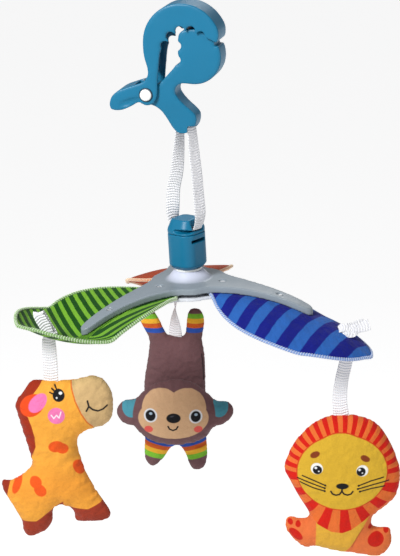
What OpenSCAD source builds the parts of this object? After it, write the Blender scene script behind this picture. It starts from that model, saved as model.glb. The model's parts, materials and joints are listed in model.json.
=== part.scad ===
// Clip-on crib mobile: a spring clamp, a strap, a swivel hub, a three-armed
// frame with leaf-shaped fabric petals, and three stuffed toys on ribbons.
// Origin: centre of the clamp's grip. +Z up. The toys face -Y.

/* [Clamp] */
// Turn of the clamp about the vertical, degrees
clamp_turn = -13; // [-30:1:30]
// Outer jaw's depth along the rail
clamp_depth = 26; // [20:1:36]
// Outer jaw's side plates
plate_t = 3; // [2:0.5:5]
// Outer jaw's back wall
jaw_wall = 4; // [3:0.5:7]
// Radius of the outer jaw's round back
jaw_r = 28.7; // [27:0.5:34]
// Radius of the inner jaw's round body
inner_jaw_r = 20; // [18:0.5:22]
// Radius of each gripping bite
bite_r = 3.4; // [2.5:0.1:4]
// Handle's depth at its strap end
handle_tip_depth = 17; // [16:0.5:20]
// Pivot pin's radius
pin_r = 2.5; // [2:0.1:3.5]
// Pivot cap's radius
cap_r = 4.4; // [4:0.1:6]
// Spring wire's diameter
wire_d = 1.2; // [0.8:0.1:1.6]

/* [Strap] */
// Width of the strap
strap_w = 10; // [8:0.5:12]
// Thickness of the strap
strap_t = 1; // [0.6:0.1:1.4]
// Height of the strap loop, between its two bars
strap_drop = 77; // [60:1:110]
// Direction of the strap's loop about the vertical, degrees
strap_turn = -40; // [-60:1:0]

/* [Hub] */
// Hub's width across the strap
hub_w = 25; // [22:0.5:32]
// Hub's length along the strap's loop
hub_l = 24; // [22:0.5:32]
// Hub's corner radius
hub_corner = 8; // [4:0.5:9]
// Height of the hub's body
hub_body_h = 27; // [24:0.5:36]
// Height of the hub's cap
hub_cap_h = 11; // [9:0.5:14]
// Spindle's radius
spindle_r = 4; // [3:0.1:5]

/* [Frame] */
// Lean of the hub and frame, degrees
lean = 3.15; // [0:0.05:6]
// Turn of the frame about its spindle, degrees
frame_turn = 6.5; // [0:0.5:30]
// Reach of each arm from the spindle
arm_len = 98; // [85:1:115]
// Drop of an arm's tip below its root
arm_drop = 19; // [12:0.5:24]
// Depth of the top cover's side wall
skirt = 5; // [4:0.5:7]
// Wall of the top cover
cover_wall = 2; // [1.5:0.1:2.5]
// Thickness of the bottom cover
bottom_t = 2.5; // [2:0.1:4]
// Radius of the collar's top
collar_r = 10.6; // [9.5:0.1:13]
// Radius of the collar's base
collar_base_r = 16; // [14:0.5:18]
// Height of the collar
collar_h = 5; // [4:0.5:8]
// Distance of the inner screws from the spindle
screw_inner = 27; // [25:0.5:32]
// Distance of the outer screws from the spindle
screw_outer = 72.6; // [60:0.5:78]
// Radius of the screw heads
screw_head_r = 2; // [1.8:0.1:2.4]

/* [Petals] */
// Thickness of the padded petals
petal_t = 2; // [1.4:0.1:2.2]
// Half width of a petal
petal_half = 41; // [36:0.5:48]
// Distance of a petal's root from the spindle
petal_root = 22; // [21:0.5:24]
// Reach of the green and orange petals
petal_reach = 150; // [135:1:165]
// Reach of the drooping blue petal
blue_reach = 142; // [135:1:165]

/* [Ribbons] */
// Width of the ribbons
ribbon_w = 10.4; // [8:0.1:12]
// Thickness of the ribbons
ribbon_t = 1; // [0.6:0.1:1.4]
// Distance of the giraffe's slit from the spindle
giraffe_at = 126; // [110:1:132]
// Distance of the lion's slit from the spindle
lion_at = 123; // [110:1:132]
// Distance of the monkey's slit from the spindle
monkey_at = 120; // [110:1:132]
// Distance of the monkey's slit from its arm's line
monkey_side = -1; // [-6:0.5:6]
// Length of the giraffe's ribbon below its petal
giraffe_ribbon = 29; // [26:0.5:60]
// Length of the lion's ribbon below its petal
lion_ribbon = 58.5; // [40:0.5:80]
// Length of the monkey's ribbon below its petal
monkey_ribbon = 49.5; // [45:0.5:100]

/* [Toys] */
// Thickness of the giraffe
giraffe_t = 26; // [18:1:36]
// Thickness of the lion
lion_t = 30; // [20:1:40]
// Thickness of the monkey's body
monkey_body_t = 24; // [18:1:34]
// Thickness of the monkey's head
monkey_head_t = 28; // [18:1:36]
// Size of the toys, 1 = as measured
toy_scale = 1; // [0.8:0.01:1.2]

/* [Hidden] */
$fn = 48;

// Colours
TEAL = [0.10, 0.52, 0.68];
GREY = [0.62, 0.66, 0.70];
PALE = [0.82, 0.84, 0.88];
STEEL = [0.70, 0.71, 0.73];
TAPE = [0.93, 0.93, 0.96];

// Clearances
running = 0.05;
slip = 0.3;

// Clamp, in its own x-z plane
pivot = [-21, -33];
jaw_centre = [5.5, 5.8];
inner_centre = [13.8, -4.5];
knuckle_r = 7;
spring_r = 5.1;
spring_turns = 5;
spring_half = 4.6;
inner_depth = clamp_depth - 2 * plate_t - 2 * slip;
bite_centre = [9, -1];
bite_reach = 16.3;
inner_bites = [[1, 3], [0.6, -7.3]];
strap_eye = [5.7, -57.2];
eye_h = strap_t + 1.6;
bar_half = 5;

// Where the strap hangs, in the part's frame
hang_x = strap_eye[0] * cos(clamp_turn);
hang_y = strap_eye[0] * sin(clamp_turn);
eye_z = strap_eye[1];

// Hub heights above the frame's centre
washer_t = 1.5;
washer_z = collar_h + 0.1;
hub_z = washer_z + washer_t + 0.2;
cap_z = hub_z + hub_body_h;
hub_slot_z = cap_z + 3.6;
hub_slot_h = strap_t + 1.4;
bridge_half = 8.5;
head_floor = 6;
head_r = 7;
head_t = 3;

// Frame's centre, placed so that the strap hangs straight
frame_pos = [hang_x + hub_slot_z * sin(lean),
             hang_y,
             eye_z - strap_drop - hub_slot_z * cos(lean)];
arm_angles = [90, 210, 330];
gap = petal_t + 2 * slip;
boss_r = 8;
core_r = 20;

// Half widths of an arm at distances from the spindle
arm_rows = [[24, 17], [36, 12.5], [52, 9], [72, 6.5], [88, 5.3], [arm_len - 2.5, 3.8]];
crotch_r = 29;

// ---------- shared shapes ----------

// A closed smooth curve through points, n steps between two of them
function spline(p, n) = [for (i = [0:len(p) - 1]) for (k = [0:n - 1])
    let (a = p[(i + len(p) - 1) % len(p)], b = p[i], c = p[(i + 1) % len(p)],
         d = p[(i + 2) % len(p)], t = k / n)
    0.5 * (2 * b + (c - a) * t + (2 * a - 5 * b + 4 * c - d) * t * t
           + (3 * b - a - 3 * c + d) * t * t * t)];

// Turns a shape drawn in x-y up into the x-z plane, centred on y = 0
module upright(depth) rotate([90, 0, 0]) linear_extrude(depth, center = true) children();

module clamp_frame() rotate([0, 0, clamp_turn]) children();

module strap_frame() translate([hang_x, hang_y, 0]) rotate([0, 0, strap_turn]) children();

module leaned() translate(frame_pos) rotate([0, -lean, 0]) children();

module rounded_rect(l, w, r) hull()
    for (x = [-1, 1], y = [-1, 1]) translate([x * (l / 2 - r), y * (w / 2 - r)]) circle(r, $fn = 32);

// ---------- clamp ----------

outer_jaw_outline = concat(
    [for (a = [20:20:180]) jaw_centre + jaw_r * [cos(a), sin(a)]],
    [[-22.3, -5], [-19.8, -14], [-20.2, -20], [-24, -24], [-32, -27], [-41, -30.5], [-46.5, -35],
     [-48.5, -40.5], [-47, -45], [-40, -45.3], [-32.5, -42.2], [-26.5, -39], [-21, -41],
     [-15.5, -39], [-12.8, -33], [-12.6, -25], [-11.6, -12], [-10, 0], [-5, 6], [6, 12],
     [17, 12], [26, 9.4], [31.6, 7.6]]);

module outer_jaw_2d() difference() {
    polygon(spline(outer_jaw_outline, 4));
    translate(bite_centre) circle(bite_reach - 0.8);
}

module bites_2d() {
    for (i = [0:4]) translate(bite_centre + bite_reach * [cos(50 + 28.5 * i), sin(50 + 28.5 * i)])
        circle(bite_r);
}

module outer_jaw() color(TEAL) clamp_frame() difference() {
    upright(clamp_depth) difference() {
        outer_jaw_2d();
        bites_2d();
    }
    // channel that the inner jaw closes into
    upright(clamp_depth - 2 * plate_t) {
        translate(jaw_centre) circle(jaw_r - jaw_wall, $fn = 96);
        polygon([[-23.2 + jaw_wall, 2], [-22 + jaw_wall, -8], [-20 + jaw_wall, -15],
                 [-31, -24], [-31, -48], [0, -48], [0, 2]]);
    }
    // scoop under the thumb handle
    translate([-39.5, 0, -45]) rotate([0, -30, 0]) upright(clamp_depth - 2 * plate_t)
        rounded_rect(24, 9, 4);
    translate([pivot[0], 0, pivot[1]]) rotate([90, 0, 0])
        cylinder(r = pin_r + running, h = clamp_depth + 2, center = true);
}

inner_jaw_outline = concat(
    [[-13, -25.5], [-5, -17.5], [0, -11.5], [2.5, -6], [2, -2], [2, 4], [3, 12], [9, 15.5], [18, 15]],
    [for (a = [50:-20:-90]) inner_centre + inner_jaw_r * [cos(a), sin(a)]],
    [[5.6, -24.1], [1.2, -26.2], [-0.2, -30], [1.2, -34], [5.6, -39], [11.3, -43.8],
    [14.8, -47.5], [15.5, -51.5], [14, -56.5], [10.5, -60], [6, -61.2], [2, -60.8], [-1.8, -58],
    [-5.8, -52], [-10, -46], [-15, -42]],
    // knuckle round the pivot
    [for (a = [256:-33:91]) pivot + knuckle_r * [cos(a), sin(a)]]);

module inner_jaw() color(TEAL) clamp_frame() difference() {
    upright(inner_depth) difference() {
        polygon(spline(inner_jaw_outline, 4));
        for (b = inner_bites) translate(b) circle(bite_r);
        // stays inside the outer jaw's round back
        difference() {
            translate([-40, 4]) square([90, 50]);
            translate(jaw_centre) circle(jaw_r - jaw_wall - 1.2, $fn = 96);
        }
    }
    // spring pocket between the two knuckles
    translate([pivot[0], 0, pivot[1]]) rotate([90, 0, 0])
        cylinder(r = spring_r + wire_d / 2 + slip, h = 2 * spring_half + 2 * slip, center = true);
    translate([pivot[0] - 14, -spring_half - slip, pivot[1] - 10])
        cube([14, 2 * spring_half + 2 * slip, 20]);
    // pin hole
    translate([pivot[0], 0, pivot[1]]) rotate([90, 0, 0])
        cylinder(r = pin_r, h = clamp_depth + 2, center = true);
    // the handle narrows towards the strap
    for (s = [-1, 1]) mirror([0, s < 0 ? 1 : 0, 0])
        translate([-12, 0, 0]) rotate([90, 0, 90]) linear_extrude(32)
            polygon([[inner_depth / 2 + 1, -34], [inner_depth / 2, -36], [handle_tip_depth / 2, -50],
                     [handle_tip_depth / 2, -64], [inner_depth / 2 + 1, -64]]);
    // strap eye, with a recess for the strap on each side
    translate([strap_eye[0], 0, 0]) rotate([0, 0, strap_turn - clamp_turn]) {
        translate([-20, -strap_w / 2 - 0.8, eye_z - eye_h / 2]) cube([40, strap_w + 1.6, eye_h]);
        for (s = [-1, 1]) translate([s * (bar_half + 8), 0, eye_z + eye_h / 2 - 5])
            cube([16, strap_w + 1.6, 10], center = true);
    }
}

module pivot_pin() color(STEEL) clamp_frame() translate([pivot[0], 0, pivot[1]])
    rotate([90, 0, 0]) cylinder(r = pin_r, h = clamp_depth + 2 * slip, center = true);

module pivot_caps() color(TAPE) clamp_frame() translate([pivot[0], 0, pivot[1]])
    for (s = [-1, 1]) translate([0, s * (clamp_depth / 2 + slip + 0.7), 0])
        rotate([90, 0, 0]) cylinder(r = cap_r, h = 1.4, center = true);

// A torsion spring's centre line: a straight leg at each end of the coil
spring_steps = 20;
spring_leg = 8.5;
function spring_point(i) = let (
    last = spring_turns * spring_steps,
    k = min(max(i, 0), last),
    a = 180 + 360 * k / spring_steps,
    y = spring_half - wire_d / 2 - (2 * spring_half - wire_d) * k / last,
    leg = i < 0 ? -spring_leg : i > last ? spring_leg : 0)
    [spring_r * cos(a) - leg * sin(a), y, spring_r * sin(a) + leg * cos(a)];

module jaw_spring() color(STEEL) clamp_frame() translate([pivot[0], 0, pivot[1]]) {
    last = spring_turns * spring_steps;
    path = [for (i = [-1:last + 1]) spring_point(i)];
    sides = 8;
    polyhedron(
        points = [for (i = [0:len(path) - 1]) let (
            ahead = path[min(i + 1, len(path) - 1)] - path[max(i - 1, 0)],
            out = cross([0, 1, 0], ahead) / norm(cross([0, 1, 0], ahead)))
            each [for (j = [0:sides - 1]) path[i] + wire_d / 2
                * (cos(360 * j / sides) * out + sin(360 * j / sides) * [0, 1, 0])]],
        faces = concat(
            [[for (j = [0:sides - 1]) j]],
            [[for (j = [sides - 1:-1:0]) (len(path) - 1) * sides + j]],
            [for (i = [0:len(path) - 2], j = [0:sides - 1]) each [
                [i * sides + j, (i + 1) * sides + j, i * sides + (j + 1) % sides],
                [i * sides + (j + 1) % sides, (i + 1) * sides + j, (i + 1) * sides + (j + 1) % sides]]]));
}

// ---------- strap ----------

// Half the loop's length at the top and the bottom
loop_top = bar_half + strap_t / 2 + 0.1;
loop_bottom = hub_l / 2 + 0.4;

module hang_strap() color(TAPE) strap_frame() upright(strap_w) {
    top = eye_z;
    bottom = eye_z - strap_drop;
    difference() {
        polygon([[-loop_top - strap_t / 2, top - 1], [-loop_top + 0.5, top + strap_t / 2],
                 [loop_top - 0.5, top + strap_t / 2], [loop_top + strap_t / 2, top - 1],
                 [loop_bottom + strap_t / 2, bottom + 8], [bridge_half + strap_t, bottom],
                 [bridge_half, bottom - strap_t / 2],
                 [-bridge_half, bottom - strap_t / 2], [-bridge_half - strap_t, bottom],
                 [-loop_bottom - strap_t / 2, bottom + 8]]);
        polygon([[-loop_top + strap_t / 2, top - 1], [-loop_top + 0.9, top - strap_t / 2],
                 [loop_top - 0.9, top - strap_t / 2], [loop_top - strap_t / 2, top - 1],
                 [loop_bottom - strap_t / 2, bottom + 8], [bridge_half + 0.2, bottom + strap_t / 2 + 0.2],
                 [-bridge_half - 0.2, bottom + strap_t / 2 + 0.2],
                 [-loop_bottom + strap_t / 2, bottom + 8]]);
    }
}

// ---------- hub ----------

module hub_frame() leaned() rotate([0, 0, strap_turn]) children();

module hub_body() color(TEAL) hub_frame() difference() {
    hull() {
        translate([0, 0, hub_z + 3]) linear_extrude(hub_body_h - 3) rounded_rect(hub_l, hub_w, hub_corner);
        translate([0, 0, hub_z]) linear_extrude(1) rounded_rect(hub_l - 5, hub_w - 5, hub_corner - 2);
    }
    translate([0, 0, hub_z - 1]) cylinder(r = spindle_r + running, h = hub_body_h);
    translate([0, 0, hub_z + head_floor]) cylinder(r = head_r + 0.6, h = hub_body_h);
    // lower strap slot
    translate([-hub_l, -7.3, hub_z + hub_body_h - 6.2]) cube([2 * hub_l, 14.6, 2.2]);
}

module hub_cap() color(TEAL) hub_frame() difference() {
    union() {
        hull() {
            translate([0, 0, cap_z + 0.1]) linear_extrude(3.4) rounded_rect(hub_l, hub_w, hub_corner);
            translate([0, 0, cap_z + hub_cap_h - 1]) linear_extrude(1)
                rounded_rect(hub_l - 5, hub_w - 8, hub_corner - 2);
        }
        translate([0, 0, cap_z - 3]) cylinder(r = head_r + 0.3, h = 3.4);
    }
    translate([-hub_l, -strap_w / 2 - 0.6, hub_slot_z - hub_slot_h / 2])
        cube([2 * hub_l, strap_w + 1.2, hub_slot_h]);
    for (s = [-1, 1]) translate([s * (bridge_half + 10), 0, hub_slot_z + 8])
        cube([20, strap_w + 1.2, 16 + hub_slot_h], center = true);
}

module spindle() color(PALE) leaned() {
    translate([0, 0, hub_z + head_floor + 0.2]) cylinder(r = head_r, h = head_t);
    difference() {
        translate([0, 0, -skirt - 1]) cylinder(r = spindle_r, h = hub_z + head_floor + skirt + 2);
        translate([0, 0, -skirt - 2]) cylinder(r = 1.5, h = 12);
    }
}

module thrust_washer() color(TAPE) leaned() translate([0, 0, washer_z]) difference() {
    cylinder(r = collar_r - 0.6, h = washer_t);
    translate([0, 0, -1]) cylinder(r = spindle_r, h = washer_t + 2);
}

module spindle_screw() color(STEEL) leaned() {
    translate([0, 0, -skirt - 3]) cylinder(r = 3.2, h = 2);
    translate([0, 0, -skirt - 1.5]) cylinder(r = 1.5, h = 10);
}

// ---------- frame ----------

// Height of the frame's top surface at distance r from the spindle
function arm_z(r) = let (q = min(r, arm_len * 1.2) / arm_len)
    -arm_drop * (0.07 + 0.55 * q * q + 0.38 * pow(q, 4));

function turn(p, a) = [p[0] * cos(a) - p[1] * sin(a), p[0] * sin(a) + p[1] * cos(a)];

function star_points(inset) = [for (a = arm_angles) each concat(
    [turn([(crotch_r - inset) / 2, -(crotch_r - inset) * sin(60)], a)],
    [for (q = arm_rows) turn([q[0], -q[1] + inset], a)],
    [turn([arm_len - inset, 0], a)],
    [for (i = [len(arm_rows) - 1:-1:0]) turn([arm_rows[i][0], arm_rows[i][1] - inset], a)])];

module star_2d(inset) polygon(spline(star_points(inset), 3));

// A dished disc between two offsets from the frame's top surface
module dished(top, bottom) rotate_extrude($fn = 96) polygon(concat(
    [for (r = [0:8:112]) [r, arm_z(r) + top]],
    [for (r = [112:-8:0]) [r, arm_z(r) + bottom]]));

module frame_turned() leaned() rotate([0, 0, frame_turn]) children();

module at_screws() for (a = arm_angles, r = [screw_inner, screw_outer])
    rotate([0, 0, a]) translate([r, 0, arm_z(r)]) children();

module frame_top() color(GREY) frame_turned() difference() {
    union() {
        intersection() {
            translate([0, 0, -40]) linear_extrude(60) star_2d(0);
            difference() {
                dished(0, -skirt);
                intersection() {
                    translate([0, 0, -40]) linear_extrude(60) star_2d(cover_wall);
                    dished(-cover_wall, -skirt - 1);
                }
            }
        }
        translate([0, 0, -2.2]) cylinder(r1 = collar_base_r + 1, r2 = collar_r, h = collar_h + 2.2);
        translate([0, 0, -skirt]) cylinder(r = boss_r, h = skirt);
        at_screws() translate([0, 0, -skirt + 1.4]) cylinder(r = 4, h = skirt - 3);
    }
    translate([0, 0, -skirt - 2]) cylinder(r = spindle_r, h = collar_h + skirt + 4);
    at_screws() {
        translate([0, 0, -2]) cylinder(r = screw_head_r + 0.2, h = 6);
        translate([0, 0, -skirt - 1]) cylinder(r = 1.2, h = skirt);
    }
}

module frame_bottom() color(PALE) frame_turned() difference() {
    union() {
        intersection() {
            translate([0, 0, -40]) linear_extrude(60) star_2d(0.4);
            dished(-skirt - gap, -skirt - gap - bottom_t);
        }
        translate([0, 0, -skirt - gap - 1.4]) cylinder(r = core_r, h = gap + 1);
        at_screws() translate([0, 0, -skirt - gap - bottom_t - 1]) cylinder(r = 2.6, h = bottom_t);
    }
    // well for the spindle's end and its screw
    translate([0, 0, -skirt - gap - 8]) cylinder(r = spindle_r + 0.3, h = 20);
    at_screws() translate([0, 0, -skirt - gap - bottom_t]) cylinder(r = 1.2, h = bottom_t + 6);
}

module frame_screws() color(STEEL) frame_turned() at_screws() {
    translate([0, 0, -2]) cylinder(r = screw_head_r, h = 1.2);
    translate([0, 0, -skirt - gap - bottom_t + 0.2]) cylinder(r = 1.2, h = skirt + gap + bottom_t - 1.8);
}

// ---------- petals ----------

rows = 22;
cols = 12;

function bezier(a, b, c, d, t) = a * pow(1 - t, 3) + 3 * b * t * pow(1 - t, 2)
    + 3 * c * t * t * (1 - t) + d * pow(t, 3);

// Distance along the arm and half width at the place t of a leaf's outline
function leaf(reach, t) = bezier([petal_root, 13], [petal_root + 32, petal_half * 1.36],
    [reach - 16, petal_half * 1.2], [reach, 1.2], t);

function arm_half(r) = lookup(r, concat([[0, crotch_r]], arm_rows, [[arm_len, 3]]));

// A petal stays flat this far past the arm's edge
held_margin = 2;
tip_span = 45;

// Height of a petal's middle surface: clamped flat in the arm, then lifted at its
// left and right edges by lift[0] at the root up to lift[1] at the end, and by tip
// beyond the arm
function petal_z(r, side, half, lift, tip) = let (
    along = (r - petal_root) / (petal_reach - petal_root),
    edges = lift[0] * (1 - along) + lift[1] * along,
    held = arm_half(r) + held_margin,
    base = arm_z(min(norm([r, min(abs(side), held)]), arm_len + held_margin)),
    wing = half > held ? max(0, abs(side) - held) / (half - held) : 0,
    past = max(0, r - arm_len - held_margin))
    base - skirt - gap / 2
    + (side > 0 ? edges[0] : edges[1]) * pow(wing, 1.5) * max(0, half - held) / (petal_half - held)
    + tip * past / tip_span * (0.4 + 0.6 * min(1, past / tip_span));

// The middle third of the columns spans what the arm holds
function petal_point(reach, lift, tip, i, j, up) = let (
    q = leaf(reach, i / rows),
    s = 2 * j / cols - 1,
    inner = min(arm_half(q[0]) + held_margin, q[1] * 0.8),
    side = abs(s) <= 1 / 3 ? 3 * s * inner
        : sign(s) * (inner + (abs(s) * 1.5 - 0.5) * (q[1] - inner)))
    [q[0], side, petal_z(q[0], side, q[1], lift, tip) + up * petal_t / 2];

module petal(angle, reach, lift, tip) frame_turned() rotate([0, 0, angle]) {
    n = cols + 1;
    m = (rows + 1) * n;
    polyhedron(
        points = [for (up = [1, -1], i = [0:rows], j = [0:cols]) petal_point(reach, lift, tip, i, j, up)],
        faces = concat(
            [for (i = [0:rows - 1], j = [0:cols - 1]) each [
                [i * n + j, i * n + j + 1, (i + 1) * n + j],
                [i * n + j + 1, (i + 1) * n + j + 1, (i + 1) * n + j]]],
            [for (i = [0:rows - 1], j = [0:cols - 1]) each [
                [m + i * n + j, m + (i + 1) * n + j, m + i * n + j + 1],
                [m + i * n + j + 1, m + (i + 1) * n + j, m + (i + 1) * n + j + 1]]],
            [for (j = [0:cols - 1]) each [
                [j, m + j, j + 1], [j + 1, m + j, m + j + 1],
                [rows * n + j, rows * n + j + 1, m + rows * n + j],
                [rows * n + j + 1, m + rows * n + j + 1, m + rows * n + j]]],
            [for (i = [0:rows - 1]) each [
                [i * n, (i + 1) * n, m + i * n], [(i + 1) * n, m + (i + 1) * n, m + i * n],
                [i * n + cols, m + i * n + cols, (i + 1) * n + cols],
                [(i + 1) * n + cols, m + i * n + cols, m + (i + 1) * n + cols]]]));
}

green_lift = [[9, 1], [7, 24]];
green_tip = 20;
blue_lift = [[-20, -17], [-20, -13]];
blue_tip = -29;
orange_lift = [[-6, -2], [-6, -2]];
orange_tip = -26;

module petal_green() color([0.25, 0.55, 0.15]) petal(210, petal_reach, green_lift, green_tip);

module petal_blue() color([0.12, 0.20, 0.65]) petal(330, blue_reach, blue_lift, blue_tip);

module petal_orange() color([0.82, 0.32, 0.10]) petal(90, petal_reach, orange_lift, orange_tip);

// ---------- ribbons ----------

// A slit's place in the part's frame, and its petal's height there
function in_frame(angle, r, side, up) = let (q = turn([r, side], angle + frame_turn))
    frame_pos + [q[0] * cos(lean) - up * sin(lean), q[1], q[0] * sin(lean) + up * cos(lean)];

function slit_z(r, tip) = let (past = max(0, r - arm_len - held_margin))
    arm_z(arm_len + held_margin) - skirt - gap / 2
    + tip * past / tip_span * (0.4 + 0.6 * min(1, past / tip_span));

giraffe_slit = in_frame(210, giraffe_at, 0, slit_z(giraffe_at, green_tip));
lion_slit = in_frame(330, lion_at, 0, slit_z(lion_at, blue_tip));
monkey_slit = in_frame(90, monkey_at, monkey_side, slit_z(monkey_at, orange_tip));
under = petal_t / 2 + 2;

// A ribbon, gathered at its slit
module ribbon(slit, length) translate(slit - [0, 0, under]) upright(ribbon_t)
    polygon([[-2, 0], [2, 0], [ribbon_w / 2, -8], [ribbon_w / 2, -length],
             [-ribbon_w / 2, -length], [-ribbon_w / 2, -8]]);

module ribbon_giraffe() color(TAPE) ribbon(giraffe_slit, giraffe_ribbon);

module ribbon_lion() color(TAPE) ribbon(lion_slit, lion_ribbon);

module ribbon_monkey() color(TAPE) ribbon(monkey_slit, monkey_ribbon);

// A ribbon's end knotted on top of its petal
module knot(slit) translate(slit + [0, 0, petal_t / 2 - 0.6]) hull() {
    translate([-3.5, 0, 4]) sphere(3.6, $fn = 16);
    translate([3.5, 0, 4]) sphere(3.6, $fn = 16);
    translate([-2, 0, 9]) sphere(3.2, $fn = 16);
    translate([4.5, 0, 8]) sphere(3.2, $fn = 16);
}

module knot_green() color(TAPE) knot(giraffe_slit);

module knot_blue() color(TAPE) knot(lion_slit);

module knot_orange() color(TAPE) knot(monkey_slit);

// ---------- toys ----------

// Each outline is drawn from the seam where the ribbon goes in
giraffe_outline = [[-13, 0], [-5, 0], [5, -0.5], [14, 0], [22, 1.5], [30, 3.5], [37, 2], [42.5, -3.5],
    [45.5, -11], [46, -20], [45, -28], [40, -34.5], [30, -37.5], [22.5, -41], [19.5, -48], [22, -61],
    [27, -75], [35, -90], [42, -100.5], [42.5, -107.5], [36, -110.3], [20, -111], [16, -108.5],
    [15, -101.5], [7.5, -97.5], [1, -100], [0, -111], [-6, -118.5], [-17, -122.8], [-22, -118.5],
    [-23, -111], [-30, -96], [-36.5, -84.5], [-36.5, -77], [-29, -77.5], [-19, -71], [-14.5, -64],
    [-16, -56], [-24, -27], [-25.5, -17.5], [-19, -8]];

lion_outline = [[6, 0], [-6, 0], [-12, -1.2], [-22, -6], [-34, -18], [-41, -31], [-44, -42],
    [-40.5, -50], [-33, -65],
    [-26, -76], [-25, -81.5], [-31, -82.5], [-38.5, -81], [-42, -84], [-42, -91], [-37, -99],
    [-28, -106.2], [-17, -106], [-7, -109], [10, -111.5], [26, -114], [33, -111.5], [38, -104],
    [37.5, -92.5], [34, -89.7], [28, -90.2], [22.8, -87], [25, -79], [34, -72], [41, -63],
    [43.5, -48], [40.5, -34], [33, -17], [24, -6], [13, -1.2]];

monkey_body_outline = [[-5.5, 0.5], [5.5, 0.5], [7.3, 7], [8.8, 19], [13, 24], [20, 22], [23, 12],
    [21, -3], [23, -15], [24, -40], [24, -70], [25, -92], [25.5, -104], [23, -115.5], [16.5, -118.5],
    [11, -115.5], [6, -102], [1, -96.3], [-5, -98.5], [-11, -107.5], [-19.5, -115.3], [-26.5, -110],
    [-27.5, -98], [-26.5, -75], [-27.5, -43], [-23.5, -15], [-23, -3], [-28, 8], [-31, 17],
    [-26.5, 24], [-19, 22], [-13, 12], [-9, 4]];

monkey_head_outline = [[0, -38.5], [-15, -41], [-27, -48.5], [-34, -55.5], [-42, -56.3], [-48, -61.5],
    [-49, -69], [-44, -76.3], [-35, -79], [-29, -86], [-18, -93], [-2, -95.5], [14, -93.5],
    [25, -88], [30, -80.5], [39, -77], [46, -70], [46, -61.5], [40, -57], [32, -56.5], [24, -49],
    [14, -41.5]];

// The head is sewn on this much above its place in the outline
head_up = 10;

// A stuffed shape: layers that draw in from the seam towards each face
module stuffed(outline, t) for (q = [[0, 0.22], [2, 0.5], [5, 0.78], [9, 1]])
    rotate([90, 0, 0]) linear_extrude(t * q[1], center = true)
        offset(delta = -q[0]) polygon(toy_scale * spline(outline, 3));

module hung(slit, length) translate(slit - [0, 0, under + length + slip + 0.6]) children();

module giraffe() color([0.94, 0.66, 0.28]) hung(giraffe_slit, giraffe_ribbon)
    stuffed(giraffe_outline, giraffe_t);

module lion() color([0.86, 0.30, 0.12]) hung(lion_slit, lion_ribbon) stuffed(lion_outline, lion_t);

module monkey_body() color([0.44, 0.32, 0.33]) hung(monkey_slit, monkey_ribbon)
    stuffed(monkey_body_outline, monkey_body_t);

module monkey_head() color([0.76, 0.61, 0.47]) hung(monkey_slit, monkey_ribbon)
    translate([0, -(monkey_body_t + monkey_head_t) / 2 - 0.1, head_up])
        stuffed(monkey_head_outline, monkey_head_t);

inner_jaw();
outer_jaw();
pivot_pin();
pivot_caps();
jaw_spring();
hang_strap();
hub_cap();
hub_body();
spindle();
thrust_washer();
spindle_screw();
frame_top();
frame_bottom();
frame_screws();
petal_green();
petal_blue();
petal_orange();
knot_green();
knot_blue();
knot_orange();
ribbon_giraffe();
ribbon_lion();
ribbon_monkey();
giraffe();
lion();
monkey_body();
monkey_head();
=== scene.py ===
import json
import math
import bmesh
import bpy
import numpy as np
from mathutils import Matrix, Vector
from mathutils.geometry import convex_hull_2d, delaunay_2d_cdt


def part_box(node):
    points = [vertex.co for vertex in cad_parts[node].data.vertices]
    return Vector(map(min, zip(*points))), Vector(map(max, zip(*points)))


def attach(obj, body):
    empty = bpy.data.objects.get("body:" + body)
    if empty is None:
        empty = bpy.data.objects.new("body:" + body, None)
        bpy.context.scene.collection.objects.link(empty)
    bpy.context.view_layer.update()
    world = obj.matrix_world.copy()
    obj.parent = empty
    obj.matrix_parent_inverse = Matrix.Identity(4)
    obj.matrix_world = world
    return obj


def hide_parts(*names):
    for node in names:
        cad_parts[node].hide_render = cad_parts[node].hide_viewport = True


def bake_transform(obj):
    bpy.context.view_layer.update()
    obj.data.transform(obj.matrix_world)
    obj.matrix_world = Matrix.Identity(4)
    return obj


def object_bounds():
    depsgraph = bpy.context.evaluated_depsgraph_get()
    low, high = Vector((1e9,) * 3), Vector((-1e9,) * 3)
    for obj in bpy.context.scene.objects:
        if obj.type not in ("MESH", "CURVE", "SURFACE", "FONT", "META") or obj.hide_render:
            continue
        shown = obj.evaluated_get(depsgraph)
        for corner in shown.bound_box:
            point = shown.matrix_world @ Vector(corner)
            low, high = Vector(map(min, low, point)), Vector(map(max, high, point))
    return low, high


# A clip-on crib mobile: its finished looks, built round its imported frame.
# Lengths are in millimetres until a mesh is made.

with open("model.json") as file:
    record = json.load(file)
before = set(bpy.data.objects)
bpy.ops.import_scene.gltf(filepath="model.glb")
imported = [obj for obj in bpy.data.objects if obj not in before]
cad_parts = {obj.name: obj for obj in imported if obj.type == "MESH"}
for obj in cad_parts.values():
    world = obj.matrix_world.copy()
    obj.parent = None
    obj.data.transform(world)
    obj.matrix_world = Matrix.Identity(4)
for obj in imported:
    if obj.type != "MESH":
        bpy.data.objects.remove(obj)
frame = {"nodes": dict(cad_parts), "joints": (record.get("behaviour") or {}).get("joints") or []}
cad_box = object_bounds()
MM = 0.001
TURN = 2 * math.pi
JOINTS = {joint["name"]: joint for joint in frame["joints"]}


def pivot_of(joint):
    """A joint's place, in millimetres."""
    return Vector(JOINTS[joint]["pos_m"]) / MM


# Frame: its centre, its lean and where its three petals point
HUB_CENTRE = pivot_of("frame_spin")
LEAN = math.atan2(-JOINTS["frame_spin"]["axis"][0], JOINTS["frame_spin"]["axis"][2])
FRAME_TURN = math.radians(6.5)
PETAL_ANGLES = {"green": math.radians(210), "blue": math.radians(330), "orange": math.radians(90)}
LEANED = Matrix.Translation(HUB_CENTRE) @ Matrix.Rotation(-LEAN, 4, "Y")

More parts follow.
